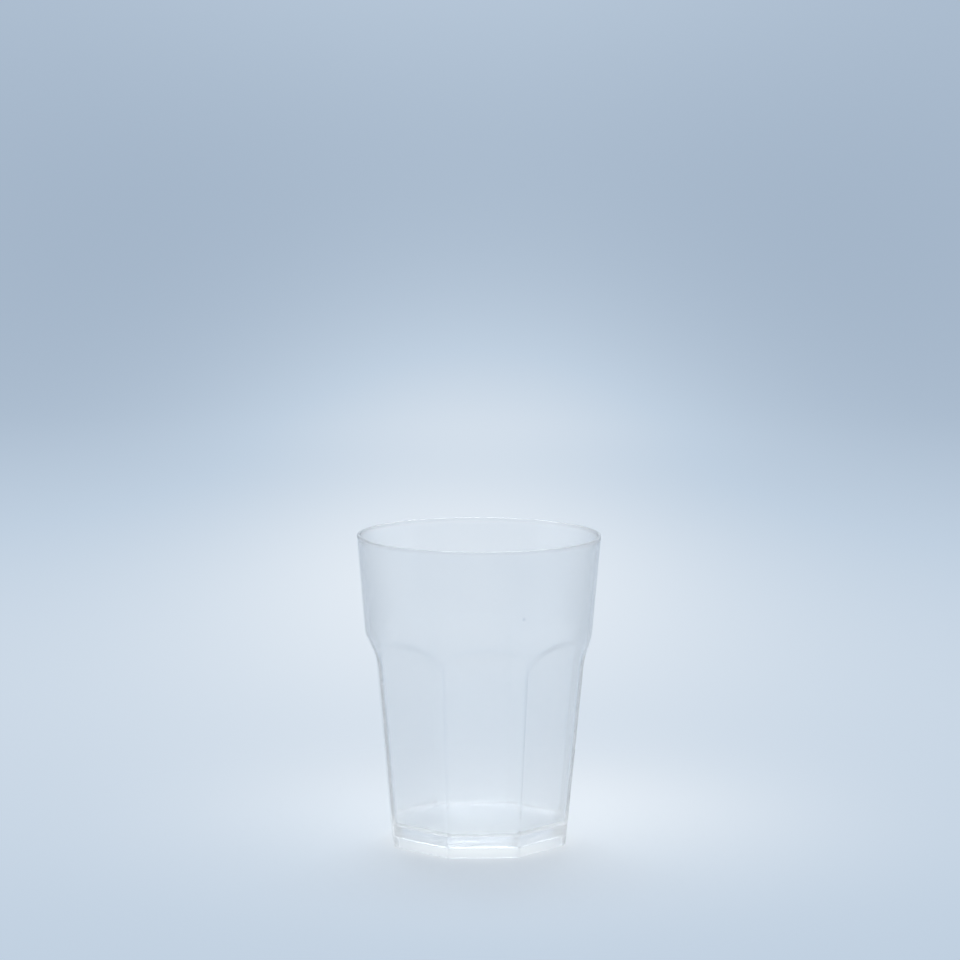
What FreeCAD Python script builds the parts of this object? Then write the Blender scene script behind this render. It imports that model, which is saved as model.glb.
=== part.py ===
import FreeCAD, Part
import math
import os

import Sketcher

# A plastic tumbler, moulded in one piece. The rim and the band under it are round. Below the band
# the wall changes to flat panels that meet at pillars, and each panel ends at the top in a curved
# shoulder that runs out to the band in an arch. The floor stands above the table on an open foot
# with a side under each panel. The origin is on the table, in the middle of the foot, with +Z up
# and a panel facing +X.

# Driving sizes, in millimetres and degrees. The waist is where the panels start to curve out.
SIZES = (
    ("cup_height", 108.2, "from the table to the top of the rim"),
    ("mouth_width", 85.0, "across the outside of the rim"),
    ("band_draft", 4.84, "lean of the round band"),
    ("waist_height", 63.2, "from the table to the top of the flat of a panel"),
    ("panel_count", 8, "flat panels round the cup"),
    ("panel_draft", 5.07, "lean of the flat panels"),
    ("pillar_inset", 0.37, "from the line of the band in to a pillar, at the waist"),
    ("shoulder_radius", 19.0, "hollow curve above a panel"),
    ("shoulder_lean", 34.5, "lean of the shoulder where its curve ends"),
    ("outside_rounding", 0.7, "pillars and the edge that stands on the table"),
    ("wall", 1.6, "wall from the waist down"),
    ("lip_wall", 1.25, "wall at the rim"),
    ("lip_flat", 0.25, "flat left on top of the rim between its two rounded edges"),
    ("inside_rounding", 2.6, "inside corners between the panels and round the floor"),
    ("floor_thickness", 3.5, "floor of the cup"),
    ("hollow_depth", 3.7, "from the table up to the underside of the floor"),
    ("foot_wall", 1.8, "wall of the foot at the table"),
    ("hollow_rounding", 0.8, "top edge of the hollow under the floor"),
    ("overrun", 2.0, "how far a cutting shape passes the face that it cuts"),
)

# Places that several shapes share, worked out from the driving sizes.
WAIST_REACH = (
    "(Sizes.mouth_width / 2 - (Sizes.cup_height - Sizes.waist_height) * tan(Sizes.band_draft * 1 deg))"
)
PANEL_REACH = "((%s - Sizes.pillar_inset) * cos(180 deg / Sizes.panel_count))" % WAIST_REACH
PANEL_REACH_AT_TABLE = "(%s - Sizes.waist_height * tan(Sizes.panel_draft * 1 deg))" % PANEL_REACH
FLOOR_LEVEL = "(Sizes.hollow_depth + Sizes.floor_thickness)"

TOUCH = 1e-3  # how near two places count as the same one

doc = FreeCAD.newDocument("TumblerCup")
sheet = doc.addObject("Spreadsheet::Sheet", "Sizes")
for row, (alias, value, note) in enumerate(SIZES, start=1):
    sheet.set("A%d" % row, alias)
    sheet.set("B%d" % row, str(value))
    sheet.set("C%d" % row, note)
    sheet.setAlias("B%d" % row, alias)
doc.recompute()


def worked_out(expression):
    """The number that an expression gives with the sheet as it is."""
    answer = sheet.evalExpression(expression)
    return float(getattr(answer, "Value", answer))


def origin_part(body, role):
    return next(part for part in body.Origin.OriginFeatures if part.Role == role)


def new_sketch(body, role, name):
    sketch = body.newObject("Sketcher::SketchObject", name)
    sketch.AttachmentSupport = (origin_part(body, role), "")
    sketch.MapMode = "FlatFace"
    return sketch


def add_line(sketch, start, end):
    line = Part.LineSegment(FreeCAD.Vector(*start, 0), FreeCAD.Vector(*end, 0))
    return sketch.addGeometry(line, False)


def constrain(sketch, kind, *places):
    sketch.addConstraint(Sketcher.Constraint(kind, *places))


def dimension(sketch, kind, places, name, expression):
    """Add one dimension to a sketch and bind it to the sheet."""
    value = worked_out(expression)
    if kind == "Angle":
        value = math.radians(value)
    index = sketch.addConstraint(Sketcher.Constraint(kind, *places, value))
    sketch.renameConstraint(index, name)
    sketch.setExpression("Constraints." + name, expression)


def add_ring(sketch, corners):
    """Straight lines through the corners and back to the first, joined end to end."""
    ring = [add_line(sketch, start, end) for start, end in zip(corners, corners[1:] + corners[:1])]
    for line, following in zip(ring, ring[1:] + ring[:1]):
        constrain(sketch, "Coincident", line, 2, following, 1)
    return ring


def is_level(edge, height):
    box = edge.BoundBox
    return abs(box.ZMin - height) < TOUCH and abs(box.ZMax - height) < TOUCH


def is_between_panels(edge):
    """True for an edge that climbs half way between the middles of two panels."""
    middle = edge.valueAt((edge.FirstParameter + edge.LastParameter) / 2)
    pitch = 360 / worked_out("Sizes.panel_count")
    turn = math.degrees(math.atan2(middle.y, middle.x)) % pitch
    return abs(turn - pitch / 2) < TOUCH and edge.BoundBox.ZLength > TOUCH


def round_edges(body, name, wanted, radius):
    """Round each edge of a body, as it stands, that passes a test."""
    edges = ["Edge%d" % number for number, edge in enumerate(body.Shape.Edges, start=1) if wanted(edge)]
    base = body.Tip
    rounding = body.newObject("PartDesign::Fillet", name)
    rounding.Base = (base, edges)
    rounding.setExpression("Radius", radius)
    doc.recompute()


def check_cut(before, after):
    """Stop if a cut takes nothing off, because then it points away from the solid."""
    if after.Shape.Volume > before.Shape.Volume - 1:
        raise RuntimeError("%s cuts nothing" % after.Name)


def turn_blank(body, name, low, high, lip_inset, waist_inset):
    """Turn the round blank of a form: straight up to the waist, then on the slope of the band."""
    lip_reach = "Sizes.mouth_width / 2 - %s" % lip_inset
    waist_reach = "%s - %s" % (WAIST_REACH, waist_inset)
    lip_x, lip_z = worked_out(lip_reach), worked_out("Sizes.cup_height")
    waist_x, waist_z = worked_out(waist_reach), worked_out("Sizes.waist_height")
    low_z, high_z = worked_out(low), worked_out(high)
    high_x = waist_x + (high_z - waist_z) * (lip_x - waist_x) / (lip_z - waist_z)

    sketch = new_sketch(body, "XZ_Plane", name + "Profile")
    corners = [(0, low_z), (waist_x, low_z), (waist_x, waist_z), (high_x, high_z), (0, high_z)]
    base, upright, slant, top, axis = add_ring(sketch, corners)
    lip = sketch.addGeometry(Part.Point(FreeCAD.Vector(lip_x, lip_z, 0)), True)
    constrain(sketch, "Horizontal", base)
    constrain(sketch, "Vertical", upright)
    constrain(sketch, "Horizontal", top)
    constrain(sketch, "Vertical", axis)
    constrain(sketch, "PointOnObject", axis, 1, -2)
    constrain(sketch, "PointOnObject", lip, 1, slant)
    if low == "0":
        constrain(sketch, "PointOnObject", base, 1, -1)
    else:
        dimension(sketch, "DistanceY", (-1, 1, base, 1), "Low", low)
    dimension(sketch, "DistanceY", (-1, 1, top, 1), "High", high)
    dimension(sketch, "DistanceX", (-1, 1, slant, 1), "WaistReach", waist_reach)
    dimension(sketch, "DistanceY", (-1, 1, slant, 1), "WaistHeight", "Sizes.waist_height")
    dimension(sketch, "DistanceX", (-1, 1, lip, 1), "LipReach", lip_reach)
    dimension(sketch, "DistanceY", (-1, 1, lip, 1), "LipHeight", "Sizes.cup_height")

    blank = body.newObject("PartDesign::Revolution", name)
    blank.Profile = sketch
    blank.ReferenceAxis = (sketch, ["V_Axis"])
    blank.Angle = 360
    doc.recompute()
    return blank


def cut_panels(body, name, inset):
    """Cut the panels and their shoulders, an even distance in from the outside of the cup.

    The profile is a panel's flat, the curve of its shoulder and a slope that runs on out past the
    band, closed round the material that goes.
    """
    bend_reach = "%s - %s * cos(Sizes.panel_draft * 1 deg)" % (PANEL_REACH, inset)
    bend_height = "Sizes.waist_height + %s * sin(Sizes.panel_draft * 1 deg)" % inset
    bend_radius = "Sizes.shoulder_radius + %s" % inset
    slope_height = "Sizes.cup_height + 2 * Sizes.overrun"
    draft = math.radians(worked_out("Sizes.panel_draft"))
    lean = math.radians(worked_out("Sizes.shoulder_lean"))
    radius = worked_out(bend_radius)
    low_z, high_z = -worked_out("Sizes.overrun"), worked_out(slope_height)
    bend_x, bend_z = worked_out(bend_reach), worked_out(bend_height)
    low_x = bend_x - (bend_z - low_z) * math.tan(draft)
    middle_x, middle_z = bend_x + radius * math.cos(draft), bend_z - radius * math.sin(draft)
    slope_x, slope_z = middle_x - radius * math.cos(lean), middle_z + radius * math.sin(lean)
    high_x = slope_x + (high_z - slope_z) * math.tan(lean)

    sketch = new_sketch(body, "XZ_Plane", name + "Profile")
    circle = Part.Circle(FreeCAD.Vector(middle_x, middle_z, 0), FreeCAD.Vector(0, 0, 1), radius)
    flat = add_line(sketch, (low_x, low_z), (bend_x, bend_z))
    bend = sketch.addGeometry(Part.ArcOfCircle(circle, math.pi - lean, math.pi - draft), False)
    slope = add_line(sketch, (slope_x, slope_z), (high_x, high_z))
    beyond = add_line(sketch, (high_x, high_z), (high_x, low_z))
    below = add_line(sketch, (high_x, low_z), (low_x, low_z))
    constrain(sketch, "Tangent", flat, 2, bend, 2)
    constrain(sketch, "Tangent", bend, 1, slope, 1)
    constrain(sketch, "Coincident", slope, 2, beyond, 1)
    constrain(sketch, "Coincident", beyond, 2, below, 1)
    constrain(sketch, "Coincident", below, 2, flat, 1)
    constrain(sketch, "Vertical", beyond)
    constrain(sketch, "Horizontal", below)
    dimension(sketch, "Angle", (-1, 1, flat, 1), "PanelDraft", "90 - Sizes.panel_draft")
    dimension(sketch, "Angle", (-1, 1, slope, 1), "ShoulderLean", "90 - Sizes.shoulder_lean")
    dimension(sketch, "Radius", (bend,), "ShoulderRadius", bend_radius)
    dimension(sketch, "DistanceX", (-1, 1, flat, 2), "BendReach", bend_reach)
    dimension(sketch, "DistanceY", (-1, 1, flat, 2), "BendHeight", bend_height)
    dimension(sketch, "DistanceY", (-1, 1, slope, 2), "SlopeHeight", slope_height)
    dimension(sketch, "DistanceY", (flat, 1, -1, 1), "Overrun", "Sizes.overrun")

    panel = body.newObject("PartDesign::Pocket", name)
    panel.Profile = sketch
    panel.Midplane = True
    panel.setExpression("Length", "Sizes.mouth_width + 2 * Sizes.overrun")
    doc.recompute()
    ring = body.newObject("PartDesign::PolarPattern", name + "Ring")
    ring.Originals = [panel]
    ring.Axis = (origin_part(body, "Z_Axis"), [""])
    ring.Angle = 360
    ring.Refine = True
    ring.setExpression("Occurrences", "Sizes.panel_count")
    body.Tip = ring
    doc.recompute()
    return ring


def cut_foot_hollow(body):
    """Cut the hollow under the floor, with one side behind each panel."""
    hollow_reach = "%s - Sizes.foot_wall" % PANEL_REACH_AT_TABLE
    count = int(worked_out("Sizes.panel_count"))
    corner_reach = worked_out(hollow_reach) / math.cos(math.pi / count)
    turns = [(2 * side - 1) * math.pi / count for side in range(count)]
    corners = [(corner_reach * math.cos(turn), corner_reach * math.sin(turn)) for turn in turns]

    sketch = new_sketch(body, "XY_Plane", "FootHollowProfile")
    sides = add_ring(sketch, corners)
    circle = Part.Circle(FreeCAD.Vector(0, 0, 0), FreeCAD.Vector(0, 0, 1), corner_reach)
    guide = sketch.addGeometry(circle, True)
    constrain(sketch, "Coincident", guide, 3, -1, 1)
    for side in sides:
        constrain(sketch, "PointOnObject", side, 1, guide)
    for side in sides[1:]:
        constrain(sketch, "Equal", sides[0], side)
    constrain(sketch, "Vertical", sides[0])
    dimension(sketch, "DistanceX", (-1, 1, sides[0], 1), "HollowReach", hollow_reach)

    hollow = body.newObject("PartDesign::Pocket", "FootHollow")
    hollow.Profile = sketch
    hollow.Reversed = True
    hollow.setExpression("Length", "Sizes.hollow_depth")
    doc.recompute()
    return hollow


# The outside of the cup, as a solid block.
tumbler = doc.addObject("PartDesign::Body", "Tumbler")
tumbler.Label = "tumbler"
outer_blank = turn_blank(tumbler, "OuterBlank", "0", "Sizes.cup_height", "0", "0")
outer_panels = cut_panels(tumbler, "OuterPanels", "0")
check_cut(outer_blank, outer_panels)
round_edges(
    tumbler, "OutsideRounding", lambda edge: is_between_panels(edge) or is_level(edge, 0),
    "Sizes.outside_rounding",
)

# The hollow under the floor.
block = tumbler.Tip
foot_hollow = cut_foot_hollow(tumbler)
check_cut(block, foot_hollow)
ceiling = worked_out("Sizes.hollow_depth")
round_edges(
    tumbler, "HollowRounding", lambda edge: is_level(edge, ceiling),
    "min(Sizes.hollow_rounding; Sizes.hollow_depth / 2)",
)

# The space inside the cup, as a solid that passes out through the mouth.
core = doc.addObject("PartDesign::Body", "Core")
core.Label = "inside_space"
core_blank = turn_blank(
    core, "CoreBlank", FLOOR_LEVEL, "Sizes.cup_height + Sizes.overrun", "Sizes.lip_wall", "Sizes.wall",
)
core_panels = cut_panels(core, "CorePanels", "Sizes.wall")
check_cut(core_blank, core_panels)
floor_level = worked_out(FLOOR_LEVEL)
round_edges(
    core, "InsideRounding", lambda edge: is_between_panels(edge) or is_level(edge, floor_level),
    "Sizes.inside_rounding",
)

# The cup is the block less the space inside, with its rim rounded.
solid_cup = tumbler.Tip
inside = tumbler.newObject("PartDesign::Boolean", "Inside")
inside.Type = "Cut"
inside.setObjects([core])
doc.recompute()
check_cut(solid_cup, inside)
rim_level = worked_out("Sizes.cup_height")
round_edges(
    tumbler, "LipRounding", lambda edge: is_level(edge, rim_level), "(Sizes.lip_wall - Sizes.lip_flat) / 2",
)

for thing in doc.Objects:
    if "Invalid" in thing.State or "Error" in thing.State:
        raise RuntimeError("%s failed: %s" % (thing.Name, thing.State))
shape = tumbler.Shape
if shape.isNull() or not shape.isValid() or len(shape.Solids) != 1:
    raise RuntimeError("The tumbler is not one sound solid")
box = shape.optimalBoundingBox()
print("volume %.0f mm3, %.2f x %.2f x %.2f mm" % (shape.Volume, box.XLength, box.YLength, box.ZLength))

os.makedirs("parts", exist_ok=True)
shape.exportStep("parts/%s.step" % tumbler.Label)
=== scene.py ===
import math

import bpy
import numpy as np
from mathutils import Matrix, Vector


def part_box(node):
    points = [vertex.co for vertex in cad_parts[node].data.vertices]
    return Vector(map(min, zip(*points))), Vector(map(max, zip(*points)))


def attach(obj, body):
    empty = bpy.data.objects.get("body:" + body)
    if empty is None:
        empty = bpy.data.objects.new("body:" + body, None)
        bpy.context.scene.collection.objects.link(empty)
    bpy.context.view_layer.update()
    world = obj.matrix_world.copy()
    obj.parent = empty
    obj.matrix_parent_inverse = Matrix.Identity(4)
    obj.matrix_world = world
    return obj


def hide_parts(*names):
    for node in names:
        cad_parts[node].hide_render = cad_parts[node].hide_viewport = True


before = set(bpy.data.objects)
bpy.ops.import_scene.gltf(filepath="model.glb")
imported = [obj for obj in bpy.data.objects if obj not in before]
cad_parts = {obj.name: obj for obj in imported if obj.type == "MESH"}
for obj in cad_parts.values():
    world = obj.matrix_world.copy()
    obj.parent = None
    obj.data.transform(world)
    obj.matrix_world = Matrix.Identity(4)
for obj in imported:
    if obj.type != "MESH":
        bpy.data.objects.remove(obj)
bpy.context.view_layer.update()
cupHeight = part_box("tumbler")[1].z
print("frame loaded, cup height", round(cupHeight, 4))


# Camera

cameraPlace = {
    "distance": 1.1875,  # from the cup's axis, along the table
    "height": 0.281,  # above the table
    "turn": 3.7,  # degrees to the left of the panel that faces it
    "tilt": 7.38,  # degrees down
    "pan": 0.012,  # degrees to the right of the cup's axis
    "roll": 0.209,  # degrees, turns the picture clockwise
    "lens": 129.3,  # mm
    "sensor": 36,  # mm wide
}


def placeCamera(place):
    turn = math.radians(place["turn"])
    heading = turn + math.radians(place["pan"])
    tilt = math.radians(place["tilt"])
    roll = math.radians(place["roll"])
    right = Vector((math.cos(heading), -math.sin(heading), 0))
    level = math.cos(tilt)
    ahead = Vector((math.sin(heading) * level, math.cos(heading) * level, -math.sin(tilt)))
    up = right.cross(ahead)
    rolledRight = right * math.cos(roll) + up * math.sin(roll)
    rolledUp = up * math.cos(roll) - right * math.sin(roll)
    eye = Vector((-math.sin(turn), -math.cos(turn), 0)) * place["distance"]
    eye.z = place["height"]
    data = bpy.data.cameras.new("camera")
    data.lens = place["lens"]
    data.sensor_width = place["sensor"]
    data.clip_start = 0.05
    data.clip_end = 20
    camera = bpy.data.objects.new("camera", data)
    facing = Matrix((rolledRight, rolledUp, -ahead)).transposed().to_4x4()
    camera.matrix_world = Matrix.Translation(eye) @ facing
    bpy.context.scene.collection.objects.link(camera)
    bpy.context.scene.camera = camera


placeCamera(cameraPlace)
print("camera placed")


# Shared helpers for meshes and nodes

def meshFromGrid(name, rows, closedRound, poles=False):
    # rows is an array of shape (across, round, 3). Each four neighbours make a face, joined round when
    # closedRound is true. With poles, a fan of triangles closes the first and the last row to its middle.
    across, around = rows.shape[:2]
    steps = around if closedRound else around - 1
    row, column = np.meshgrid(np.arange(across - 1), np.arange(steps), indexing="ij")
    following = (column + 1) % around
    lower = row * around
    upper = lower + around
    corners = np.stack([lower + column, lower + following, upper + following, upper + column], axis=-1)
    points = rows.reshape(-1, 3)
    faces = corners.reshape(-1, 4).tolist()
    if poles:
        first, last = len(points), len(points) + 1
        ring = np.arange(around)
        nextOn = (ring + 1) % around
        lastRow = (across - 1) * around
        firstFan = np.stack([np.full(around, first), nextOn, ring], axis=-1)
        lastFan = np.stack([np.full(around, last), lastRow + ring, lastRow + nextOn], axis=-1)
        points = np.concatenate([points, rows[0].mean(0)[None], rows[-1].mean(0)[None]])
        faces = faces + firstFan.tolist() + lastFan.tolist()
    mesh = bpy.data.meshes.new(name)
    mesh.from_pydata(points.tolist(), [], faces)
    mesh.polygons.foreach_set("use_smooth", np.ones(len(mesh.polygons), dtype=bool))
    mesh.update()
    piece = bpy.data.objects.new(name, mesh)
    bpy.context.scene.collection.objects.link(piece)
    return piece


def newMaterial(name):
    material = bpy.data.materials.new(name)
    material.use_nodes = True
    nodes = material.node_tree.nodes
    nodes.clear()
    output = nodes.new("ShaderNodeOutputMaterial")
    return material, nodes, material.node_tree.links, output


def mathNode(nodes, links, operation, *values):
    # A Math node whose inputs are numbers or other nodes' outputs.
    node = nodes.new("ShaderNodeMath")
    node.operation = operation
    for place, value in enumerate(values):
        if isinstance(value, (int, float)):
            node.inputs[place].default_value = value
        else:
            links.new(value, node.inputs[place])
    return node.outputs[0]


def smoothRise(nodes, links, value, ends):
    # 0 below the first end, 1 above the second, and a smooth rise between them.
    rise = nodes.new("ShaderNodeMapRange")
    rise.interpolation_type = "SMOOTHSTEP"
    rise.inputs["From Min"].default_value = ends[0]
    rise.inputs["From Max"].default_value = ends[1]
    links.new(value, rise.inputs["Value"])
    return rise.outputs[0]


def fade(nodes, links, value, scale=1.0):
    # e to the minus scale times the value: 1 at 0, and soon nothing.
    return mathNode(nodes, links, "EXPONENT", mathNode(nodes, links, "MULTIPLY", value, -scale))


def seenRays(nodes, links):
    # 1 for rays from the camera, in gloss or through plastic, and 0 for those that light things.
    rays = nodes.new("ShaderNodeLightPath")
    seen = mathNode(nodes, links, "MAXIMUM", rays.outputs["Is Camera Ray"], rays.outputs["Is Glossy Ray"])
    return mathNode(nodes, links, "MAXIMUM", seen, rays.outputs["Is Transmission Ray"])


# The tumbler

cup = {
    "height": 0.1082,
    "mouth": 0.0850,  # across the outside of the rim
    "bandDraft": 4.84,  # degrees
    "waist": 0.0632,  # height where the panels start to curve out
    "panelCount": 8,
    "panelDraft": 5.07,  # degrees
    "pillarInset": 0.00037,  # from the band's line in to a pillar, at the waist
    "shoulderRadius": 0.019,
    "shoulderLean": 34.5,  # degrees
    "pillarRounding": 0.0007,
    "footRounding": 0.0026,  # of the foot's corners, where the pillars end
    "footBlend": (0.003, 0.010),  # heights between which one turns into the other
    "wall": 0.0016,
    "lipWall": 0.00125,  # the wall at the rim
    "lipRounding": 0.0005,
    "insideRounding": 0.0026,  # round the floor and in the corners inside
    "floorThickness": 0.0035,
    "hollowDepth": 0.0037,  # of the hollow under the floor
    "footWall": 0.0018,  # of the ring round the hollow
    "footEdge": 0.0002,  # rounding of the ring's inner edge
    "hollowRounding": 0.0008,  # round the hollow's ceiling
    "hollowCorner": 0.0022,  # and of the corners between its sides
    "archSoftness": 0.0007,  # how softly a shoulder turns into the band
}
cupGrid = {
    "columns": 23,  # from a panel's middle to its pillar
    "crowding": 2.5,  # how much they crowd towards the pillar
    "panelRows": 12,  # up the wall below the shoulders
    "shoulderRows": 20,
    "archRows": 12,  # close rows that follow the arch
    "archReach": 0.0016,  # how far they go to each side of it
    "bandRows": 16,
    "underWaist": 0.0005,  # how far under the waist the panel's rows end
    "firstStep": 0.0002,  # from a rounding to the wall's first row
    "bendRows": 7,  # round an edge
    "floorBendRows": 9,  # round the floor's edge
    "hollowRows": 4,  # down the side of the hollow
    "ceilingRings": 9,
    "floorRings": 10,
    "halvings": 30,  # in the search for the arch
}


def bandReach(height, inside):
    # Distance of the round band from the axis: a straight slope, with the wall thinner at the rim inside.
    waistOut = cup["mouth"] / 2 - (cup["height"] - cup["waist"]) * math.tan(math.radians(cup["bandDraft"]))
    lipOut = cup["mouth"] / 2
    if inside:
        waistOut = waistOut - cup["wall"]
        lipOut = lipOut - cup["lipWall"]
    return waistOut + (height - cup["waist"]) * (lipOut - waistOut) / (cup["height"] - cup["waist"])


def panelReach(height, inside):
    # Distance of a panel from the axis: the leaning flat, then a hollow arc that touches it, then a
    # slope that touches the arc. The inside runs one wall further in, round the same centre.
    inset = cup["wall"] if inside else 0
    draft = math.radians(cup["panelDraft"])
    lean = math.radians(cup["shoulderLean"])
    pillar = bandReach(cup["waist"], False) - cup["pillarInset"]
    bendReach = pillar * math.cos(math.pi / cup["panelCount"]) - inset * math.cos(draft)
    bendHeight = cup["waist"] + inset * math.sin(draft)
    radius = cup["shoulderRadius"] + inset
    middleReach = bendReach + radius * math.cos(draft)
    middleHeight = bendHeight - radius * math.sin(draft)
    slopeHeight = middleHeight + radius * math.sin(lean)
    flat = bendReach - (bendHeight - height) * math.tan(draft)
    arc = middleReach - np.sqrt(np.maximum(radius ** 2 - (height - middleHeight) ** 2, 0))
    slope = middleReach - radius * math.cos(lean) + (height - slopeHeight) * math.tan(lean)
    return np.where(height < bendHeight, flat, np.where(height < slopeHeight, arc, slope))


def cornered(turn, reach, rounding):
    # Distance from the axis to a polygon with rounded corners: reach over the cosine of the angle from
    # the nearest panel's middle, and near a corner the circle that touches both its sides.
    half = math.pi / cup["panelCount"]
    offMiddle = np.abs((turn + half) % (2 * half) - half)
    flatEnd = np.arctan2((reach - rounding) * math.tan(half), reach)
    centre = (reach - rounding) / math.cos(half)
    offCorner = half - offMiddle
    beside = centre * np.sin(offCorner)
    circle = centre * np.cos(offCorner) + np.sqrt(np.maximum(rounding ** 2 - beside ** 2, 0))
    return np.where(offMiddle < flatEnd, reach / np.cos(offMiddle), circle)


def softLeast(one, other, softness):
    # The smaller of two distances, with the corner where they cross rounded off.
    near = np.maximum(softness - np.abs(one - other), 0)
    return np.minimum(one, other) - near ** 2 / (4 * softness)


def cornerRounding(height, inside):
    # Rounding of the corners between the panels: outside it grows smoothly towards the foot.
    if inside:
        return cup["insideRounding"] + 0 * height
    low, high = cup["footBlend"]
    rise = np.clip((height - low) / (high - low), 0, 1)
    return cup["footRounding"] + (cup["pillarRounding"] - cup["footRounding"]) * rise ** 2 * (3 - 2 * rise)


def wallReach(turn, height, inside):
    # The wall's distance from the axis: the panels and shoulders, held inside the round band.
    rounding = cornerRounding(height, inside)
    panels = cornered(turn, panelReach(height, inside), rounding)
    return softLeast(bandReach(height, inside), panels, cup["archSoftness"])


def archHeight(turn, inside):
    # The height at each turn where a shoulder meets the band, found by halving.
    low = np.full_like(turn, cup["waist"])
    high = np.full_like(turn, cup["waist"] + cup["shoulderRadius"])
    rounding = cup["insideRounding"] if inside else cup["pillarRounding"]
    for _ in range(cupGrid["halvings"]):
        middle = (low + high) / 2
        under = cornered(turn, panelReach(middle, inside), rounding) < bandReach(middle, inside)
        low = np.where(under, middle, low)
        high = np.where(under, high, middle)
    return low


def wallRows(turn, inside, lowest, highest):
    # Heights up the wall at each turn: even steps up the panel, up the shoulder to just under the arch,
    # closely past the arch, and up the band.
    arch = archHeight(turn, inside)
    panelTop = cup["waist"] - cupGrid["underWaist"]
    archStart = arch - cupGrid["archReach"]
    archEnd = arch + cupGrid["archReach"]
    parts = [
        np.linspace(lowest + 0 * turn, panelTop + 0 * turn, cupGrid["panelRows"], endpoint=False),
        np.linspace(panelTop + 0 * turn, archStart, cupGrid["shoulderRows"], endpoint=False),
        np.linspace(archStart, archEnd, cupGrid["archRows"], endpoint=False),
        np.linspace(archEnd, highest + 0 * turn, cupGrid["bandRows"]),
    ]
    return np.concatenate(parts)


def tumblerRows():
    # Every row of the closed surface, from the middle of the hollow's ceiling out, down, under the
    # foot, up the outside, over the lip, down the inside and in to the middle of the floor.
    half = math.pi / cup["panelCount"]
    columns = cupGrid["columns"]
    steps = np.arange(1 - columns, columns + 1) / columns
    sector = np.sign(steps) * np.abs(steps) ** cupGrid["crowding"] * half
    turn = (np.arange(cup["panelCount"])[:, None] * 2 * half + half + sector).reshape(-1)
    rows = []

    def add(reach, height):
        height = height + 0 * reach
        rows.append(np.stack([reach * np.cos(turn), reach * np.sin(turn), height], axis=-1))

    # under the floor: ceiling, its rounding, the inner side of the foot
    footReach = panelReach(np.array(0.0), False)
    hollow = footReach - cup["footWall"]
    rounding = cup["hollowRounding"]
    hollowCorner = cup["hollowCorner"]
    edge = cup["footEdge"]
    bend = np.linspace(0, math.pi / 2, cupGrid["bendRows"])
    for share in np.linspace(0, 1, cupGrid["ceilingRings"])[1:-1]:
        add(share * cornered(turn, hollow - rounding, hollowCorner - rounding), cup["hollowDepth"])
    for step in bend:
        offset = rounding * (1 - math.sin(step))
        height = cup["hollowDepth"] - rounding * (1 - math.cos(step))
        add(cornered(turn, hollow - offset, hollowCorner - offset), height)
    for height in np.linspace(cup["hollowDepth"] - rounding, edge, cupGrid["hollowRows"])[1:]:
        add(cornered(turn, hollow, hollowCorner), height)
    for step in bend[1:]:
        add(cornered(turn, hollow + edge * (1 - math.cos(step)), hollowCorner), edge * (1 - math.sin(step)))

    # the foot's flat and its outer edge
    outer = cup["pillarRounding"]
    corner = cup["footRounding"] - outer
    lean = math.radians(cup["panelDraft"])
    flatEnd = footReach - outer * math.tan((math.pi / 2 - lean) / 2)
    add(cornered(turn, (hollow + edge + flatEnd) / 2, (hollowCorner + corner) / 2), 0.0)
    for step in np.linspace(0, math.pi / 2 - lean, cupGrid["bendRows"]):
        reach = flatEnd + outer * math.sin(step)
        add(cornered(turn, reach, corner + outer * math.sin(step)), outer * (1 - math.cos(step)))
    lowest = outer * (1 - math.sin(lean))

    # up the outside
    lip = cup["lipRounding"]
    lipStart = cup["height"] - lip
    for height in wallRows(turn, False, lowest + cupGrid["firstStep"], lipStart):
        add(wallReach(turn, height, False), height)

    # over the lip
    outside = bandReach(np.array(lipStart), False)
    inside = bandReach(np.array(lipStart), True)
    for step in bend[1:]:
        add(outside - lip * (1 - math.cos(step)) + 0 * turn, cup["height"] - lip * (1 - math.sin(step)))
    for step in bend[::-1]:
        add(inside + lip * (1 - math.cos(step)) + 0 * turn, cup["height"] - lip * (1 - math.sin(step)))

    # down the inside, round the floor's edge and in to the middle
    floor = cup["hollowDepth"] + cup["floorThickness"]
    soft = cup["insideRounding"]
    for height in wallRows(turn, True, floor + soft + cupGrid["firstStep"], lipStart)[::-1][1:]:
        add(wallReach(turn, height, True), height)
    for step in np.linspace(0, math.pi / 2, cupGrid["floorBendRows"]):
        offset = soft * (1 - math.cos(step))
        height = floor + soft * (1 - math.sin(step))
        reach = panelReach(np.array(height), True) - offset
        add(cornered(turn, reach, soft - offset), height)
    floorReach = panelReach(np.array(floor), True) - soft
    for share in np.linspace(1, 0, cupGrid["floorRings"])[1:-1]:
        add(share * cornered(turn, floorReach, 0.0), floor)
    return np.stack(rows)


plastic = {
    "clean": (0.99, 0.995, 0.998),  # colour of the clearer patches
    "milky": (0.972, 0.983, 0.992),  # and of the milkier ones
    "mark": (0.62, 0.66, 0.72),  # and of the small mark
    "bending": 1.49,  # refractive index
    "clear": 0.03,  # roughness of the clear share of the surface
    "hazyInWall": 0.35,  # and of the hazy share in the walls
    "hazyInFoot": 0.28,  # and in the floor and foot
    "hazeInWall": 0.38,  # the hazy share in the walls
    "hazeInFoot": 0.70,  # and in the floor and foot
    "footTop": (0.003, 0.009),  # heights between which one turns into the other
    "hazeAtLip": 0.5,  # how much more of it the lip has
    "lipStart": (0.1066, 0.1076),  # heights between which that comes in
    "cloud": (70.0, 0.35),  # patches of more and less haze: how many to a metre, and how strong
    "waves": (110.0, 0.00002),  # faint moulding waves: how many to a metre, and how high
    "markAt": ((0.0128, -0.0384, 0.0845), 0.0005),  # middle and radius of one small mark on the band
}


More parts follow.
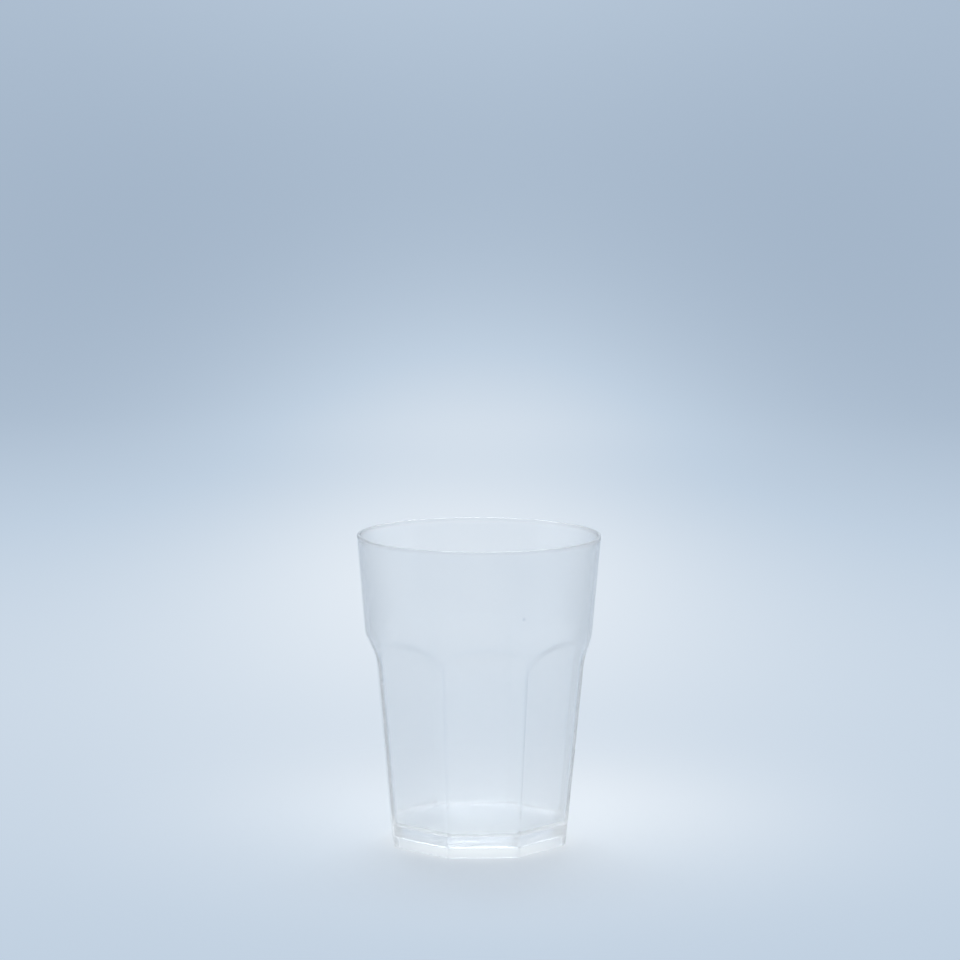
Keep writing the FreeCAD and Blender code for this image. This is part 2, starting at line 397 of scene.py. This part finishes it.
def polypropylene():
    # Clear plastic with a milky share: specks far finer than the eye sees are either clear or hazy, so
    # bright things behind stay crisp while everything faint behind melts away.
    material, nodes, links, output = newMaterial("polypropylene")
    place = nodes.new("ShaderNodeTexCoord").outputs["Object"]
    split = nodes.new("ShaderNodeSeparateXYZ")
    links.new(place, split.inputs[0])

    # the hazy share of the surface, and how much rougher it is there
    inWall = smoothRise(nodes, links, split.outputs[2], plastic["footTop"])
    inLip = smoothRise(nodes, links, split.outputs[2], plastic["lipStart"])
    lessHaze = plastic["hazeInWall"] - plastic["hazeInFoot"]
    share = mathNode(nodes, links, "MULTIPLY_ADD", inWall, lessHaze, plastic["hazeInFoot"])
    share = mathNode(nodes, links, "MULTIPLY_ADD", inLip, plastic["hazeAtLip"], share)
    moreRough = plastic["hazyInWall"] - plastic["hazyInFoot"]
    roughInFoot = plastic["hazyInFoot"] - plastic["clear"]
    rougher = mathNode(nodes, links, "MULTIPLY_ADD", inWall, moreRough, roughInFoot)

    # soft patches of more and less haze
    patchScale, patchStrength = plastic["cloud"]
    cloud = nodes.new("ShaderNodeTexNoise")
    links.new(place, cloud.inputs["Vector"])
    cloud.inputs["Scale"].default_value = patchScale
    fewest = 1 - patchStrength / 2
    cloudy = mathNode(nodes, links, "MULTIPLY_ADD", cloud.outputs["Fac"], patchStrength, fewest)
    cloudy = mathNode(nodes, links, "MULTIPLY", share, cloudy)

    # the small mark: all that is nearer to its middle than its radius
    markPlace, markRadius = plastic["markAt"]
    off = nodes.new("ShaderNodeVectorMath")
    off.operation = "DISTANCE"
    links.new(place, off.inputs[0])
    off.inputs[1].default_value = markPlace
    marked = mathNode(nodes, links, "LESS_THAN", off.outputs["Value"], markRadius)
    cloudy = mathNode(nodes, links, "MAXIMUM", cloudy, marked)

    # colour: clearer and milkier patches, and the mark
    patches = nodes.new("ShaderNodeMix")
    patches.data_type = "RGBA"
    patches.inputs["A"].default_value = (*plastic["clean"], 1)
    patches.inputs["B"].default_value = (*plastic["milky"], 1)
    links.new(cloud.outputs["Fac"], patches.inputs["Factor"])
    tint = nodes.new("ShaderNodeMix")
    tint.data_type = "RGBA"
    links.new(patches.outputs["Result"], tint.inputs["A"])
    tint.inputs["B"].default_value = (*plastic["mark"], 1)
    links.new(marked, tint.inputs["Factor"])

    # each fine speck is clear or hazy, by chance
    speck = nodes.new("ShaderNodeTexWhiteNoise")
    links.new(place, speck.inputs[0])
    hazy = mathNode(nodes, links, "LESS_THAN", speck.outputs["Value"], cloudy)
    rough = mathNode(nodes, links, "MULTIPLY_ADD", hazy, rougher, plastic["clear"])

    # moulding waves
    waveScale, waveHeight = plastic["waves"]
    wave = nodes.new("ShaderNodeTexNoise")
    links.new(place, wave.inputs["Vector"])
    wave.inputs["Scale"].default_value = waveScale
    wave.inputs["Detail"].default_value = 0.0
    bump = nodes.new("ShaderNodeBump")
    bump.inputs["Distance"].default_value = waveHeight
    links.new(wave.outputs["Fac"], bump.inputs["Height"])

    shader = nodes.new("ShaderNodeBsdfPrincipled")
    shader.inputs["IOR"].default_value = plastic["bending"]
    shader.inputs["Transmission Weight"].default_value = 1.0
    links.new(tint.outputs["Result"], shader.inputs["Base Color"])
    links.new(rough, shader.inputs["Roughness"])
    links.new(bump.outputs[0], shader.inputs["Normal"])
    links.new(shader.outputs[0], output.inputs["Surface"])
    return material


tumbler = meshFromGrid("tumbler_shell", tumblerRows(), closedRound=True, poles=True)
tumbler.data.materials.append(polypropylene())
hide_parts("tumbler")
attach(tumbler, "root")
print("tumbler made,", len(tumbler.data.polygons), "faces")


# Floor and backdrop in one sweep

sweep = {
    "front": -1.6,  # where the floor starts, towards the camera
    "back": 1.3,  # where it starts to curve up
    "curve": 0.9,  # radius of the curve
    "top": 2.4,
    "width": 4.0,
    "drop": 0.0003,  # how far it lies under the foot, to stay clear of it
    "floorRows": 40,
    "curveRows": 40,
    "backRows": 12,
    "columns": 30,
    "roughness": 0.8,
}


def sweepRows():
    # A level floor, a quarter circle and an upright back, as a profile carried sideways.
    floorPart = np.linspace(sweep["front"], sweep["back"], sweep["floorRows"])
    bend = np.linspace(0, math.pi / 2, sweep["curveRows"])[1:]
    rise = np.linspace(sweep["curve"], sweep["top"], sweep["backRows"])[1:]
    curvePart = sweep["back"] + sweep["curve"] * np.sin(bend)
    backPart = 0 * rise + sweep["back"] + sweep["curve"]
    depth = np.concatenate([floorPart, curvePart, backPart])
    height = np.concatenate([0 * floorPart, sweep["curve"] * (1 - np.cos(bend)), rise])
    across = np.linspace(-sweep["width"] / 2, sweep["width"] / 2, sweep["columns"])
    width, _ = np.meshgrid(across, depth)
    return np.stack([width, depth[:, None] + 0 * width, height[:, None] + 0 * width], axis=-1)


# soft pools of light on the sweep: strength, place across and back, width across and back
lightPools = {
    "table": (0.634, -0.015, 0.36, 0.51, 0.92),
    "glow behind": (0.42, 0.0, 1.37, 0.193, 0.314),
    "path to the glow": (0.364, -0.01, 0.68, 0.129, 0.465),
    "round the cup": (0.398, 0.015, 0.034, 0.092, 0.104),
    "far back": (0.373, -0.016, 2.12, 0.515, 0.216),
}
sweepColours = {
    "base": 0.027,  # the amount of light where no pool reaches
    "ramp": [  # the sweep's colour at each amount of light
        (0.0, (0.33, 0.42, 0.54)),
        (0.477, (0.527, 0.63, 0.75)),
        (1.0, (0.80, 0.86, 0.925)),
        (1.5, (0.91, 0.97, 1.0)),
    ],
    "shadow": (0.3, 0.09),  # how much of the object's shadow shows, and how far out
    "under": (0.6, 0.027),  # painted light right under the cup: how much paler it is there, and how far out
    # how much paler the floor is out of view, from how far aside, how much further aside with each metre
    # back, and from how far in front
    "beyond": (0.9, 0.38, 0.29, 0.45),
}


def sweepMaterial():
    # Each pool is a bell curve of the distance from its middle. Their sum picks a colour from the ramp.
    material, nodes, links, output = newMaterial("pale_sweep")
    place = nodes.new("ShaderNodeTexCoord").outputs["Object"]
    split = nodes.new("ShaderNodeSeparateXYZ")
    links.new(place, split.inputs[0])
    total = sweepColours["base"]
    for strength, middleX, middleY, wideX, wideY in lightPools.values():
        across = mathNode(nodes, links, "SUBTRACT", split.outputs[0], middleX)
        across = mathNode(nodes, links, "DIVIDE", across, wideX)
        back = mathNode(nodes, links, "SUBTRACT", split.outputs[1], middleY)
        back = mathNode(nodes, links, "DIVIDE", back, wideY)
        squares = mathNode(nodes, links, "MULTIPLY", across, across)
        squares = mathNode(nodes, links, "ADD", squares, mathNode(nodes, links, "MULTIPLY", back, back))
        bell = fade(nodes, links, squares)
        total = mathNode(nodes, links, "ADD", mathNode(nodes, links, "MULTIPLY", bell, strength), total)

    # paler right under the cup, where light is painted in, and out of view, by the fourth power of the
    # distance
    away = nodes.new("ShaderNodeVectorMath")
    away.operation = "LENGTH"
    links.new(place, away.inputs[0])
    away = mathNode(nodes, links, "POWER", away.outputs["Value"], 4.0)
    paler, reach = sweepColours["under"]
    under = fade(nodes, links, away, reach ** -4)
    total = mathNode(nodes, links, "ADD", total, mathNode(nodes, links, "MULTIPLY", under, paler))
    paler, aside, wider, front = sweepColours["beyond"]
    behind = mathNode(nodes, links, "MAXIMUM", split.outputs[1], 0.0)
    aside = mathNode(nodes, links, "MULTIPLY_ADD", behind, wider, aside)
    aside = mathNode(nodes, links, "POWER", mathNode(nodes, links, "DIVIDE", split.outputs[0], aside), 4.0)
    ahead = mathNode(nodes, links, "MINIMUM", split.outputs[1], 0.0)
    ahead = mathNode(nodes, links, "POWER", mathNode(nodes, links, "DIVIDE", ahead, front), 4.0)
    inView = fade(nodes, links, mathNode(nodes, links, "ADD", aside, ahead))
    beyond = mathNode(nodes, links, "MULTIPLY_ADD", inView, -paler, paler)
    total = mathNode(nodes, links, "ADD", total, beyond)

    stops = sweepColours["ramp"]
    most = stops[-1][0]
    ramp = nodes.new("ShaderNodeValToRGB")
    ramp.color_ramp.elements[0].color = (*stops[0][1], 1)
    ramp.color_ramp.elements[1].color = (*stops[-1][1], 1)
    for amount, colour in stops[1:-1]:
        ramp.color_ramp.elements.new(amount / most).color = (*colour, 1)
    links.new(mathNode(nodes, links, "DIVIDE", total, most), ramp.inputs[0])
    lit = nodes.new("ShaderNodeBsdfPrincipled")
    lit.inputs["Roughness"].default_value = sweep["roughness"]
    lit.inputs["Specular IOR Level"].default_value = 0.0
    links.new(ramp.outputs[0], lit.inputs["Base Color"])
    glow = nodes.new("ShaderNodeEmission")
    links.new(ramp.outputs[0], glow.inputs["Color"])

    # where it is seen, it glows, apart from a share round the cup that keeps the cup's shadow; right under
    # the cup the painted light takes that share back, so no shadow shows there
    mix = nodes.new("ShaderNodeMixShader")
    depth, reach = sweepColours["shadow"]
    shaded = mathNode(nodes, links, "SUBTRACT", fade(nodes, links, away, reach ** -4), under)
    glowing = mathNode(nodes, links, "MULTIPLY_ADD", shaded, -depth, 1.0)
    links.new(mathNode(nodes, links, "MULTIPLY", seenRays(nodes, links), glowing), mix.inputs[0])
    links.new(lit.outputs[0], mix.inputs[1])
    links.new(glow.outputs[0], mix.inputs[2])
    links.new(mix.outputs[0], output.inputs["Surface"])
    return material


backdrop = meshFromGrid("sweep", sweepRows(), closedRound=False)
backdrop.data.materials.append(sweepMaterial())
backdrop.rotation_euler.z = -math.radians(cameraPlace["turn"])  # faces the camera
backdrop.location.z = -sweep["drop"]
print("sweep made")


# Light

room = {
    "horizon": 0.89,  # brightness level with the table
    "zenith": 0.97,  # and straight up
    "lighting": 0.3,  # share that lights things, where the rest is only seen in gloss and through plastic
    "tint": (0.92, 0.97, 1.0),
}
lampColour = (0.94, 0.975, 1.0)
softboxes = {  # place, the point it aims at, width and height in metres, and power in watts
    "left": {"place": (-0.95, 0.1, 0.35), "aim": (0, 0, 0.05), "size": (1.2, 0.7), "power": 2.2},
    "right": {"place": (0.95, 0.1, 0.35), "aim": (0, 0, 0.05), "size": (1.2, 0.7), "power": 2.2},
    "back": {"place": (0.0, 0.8, 0.85), "aim": (0, 0, 0.05), "size": (0.9, 0.2), "power": 11.0},
    "window": {"place": (0.06, 0.77, 0.5), "aim": (0, 0, 0.05), "size": (0.15, 0.15), "power": 0.3},
}


def addSoftbox(name, values):
    data = bpy.data.lights.new(name, "AREA")
    data.shape = "RECTANGLE"
    data.size, data.size_y = values["size"]
    data.energy = values["power"]
    data.color = lampColour
    lamp = bpy.data.objects.new(name, data)
    lamp.visible_camera = False
    lamp.location = values["place"]
    aim = Vector(values["aim"]) - lamp.location
    lamp.rotation_euler = aim.to_track_quat("-Z", "Y").to_euler()
    bpy.context.scene.collection.objects.link(lamp)


def studioWorld(values):
    # A plain, nearly even room: its brightness runs evenly with the height of the direction, from the
    # horizon's to the zenith's, and is the same from every side.
    world = bpy.data.worlds.new("studio")
    world.use_nodes = True
    nodes = world.node_tree.nodes
    links = world.node_tree.links
    split = nodes.new("ShaderNodeSeparateXYZ")
    links.new(nodes.new("ShaderNodeTexCoord").outputs["Generated"], split.inputs[0])
    height = mathNode(nodes, links, "MAXIMUM", split.outputs[2], 0.0)
    horizon = values["horizon"]
    level = mathNode(nodes, links, "MULTIPLY_ADD", height, values["zenith"] - horizon, horizon)
    lighting = values["lighting"]
    shown = mathNode(nodes, links, "MULTIPLY_ADD", seenRays(nodes, links), 1 - lighting, lighting)
    level = mathNode(nodes, links, "MULTIPLY", level, shown)
    nodes["Background"].inputs["Color"].default_value = (*values["tint"], 1)
    links.new(level, nodes["Background"].inputs["Strength"])
    return world


bpy.context.scene.world = studioWorld(room)
for name, values in softboxes.items():
    addSoftbox(name, values)
bpy.context.scene.view_settings.view_transform = "Standard"

paths = bpy.context.scene.cycles  # light bounces many times inside the thin wall
paths.max_bounces = 64
paths.glossy_bounces = 64
paths.transmission_bounces = 32
paths.diffuse_bounces = 10
print("lights placed")
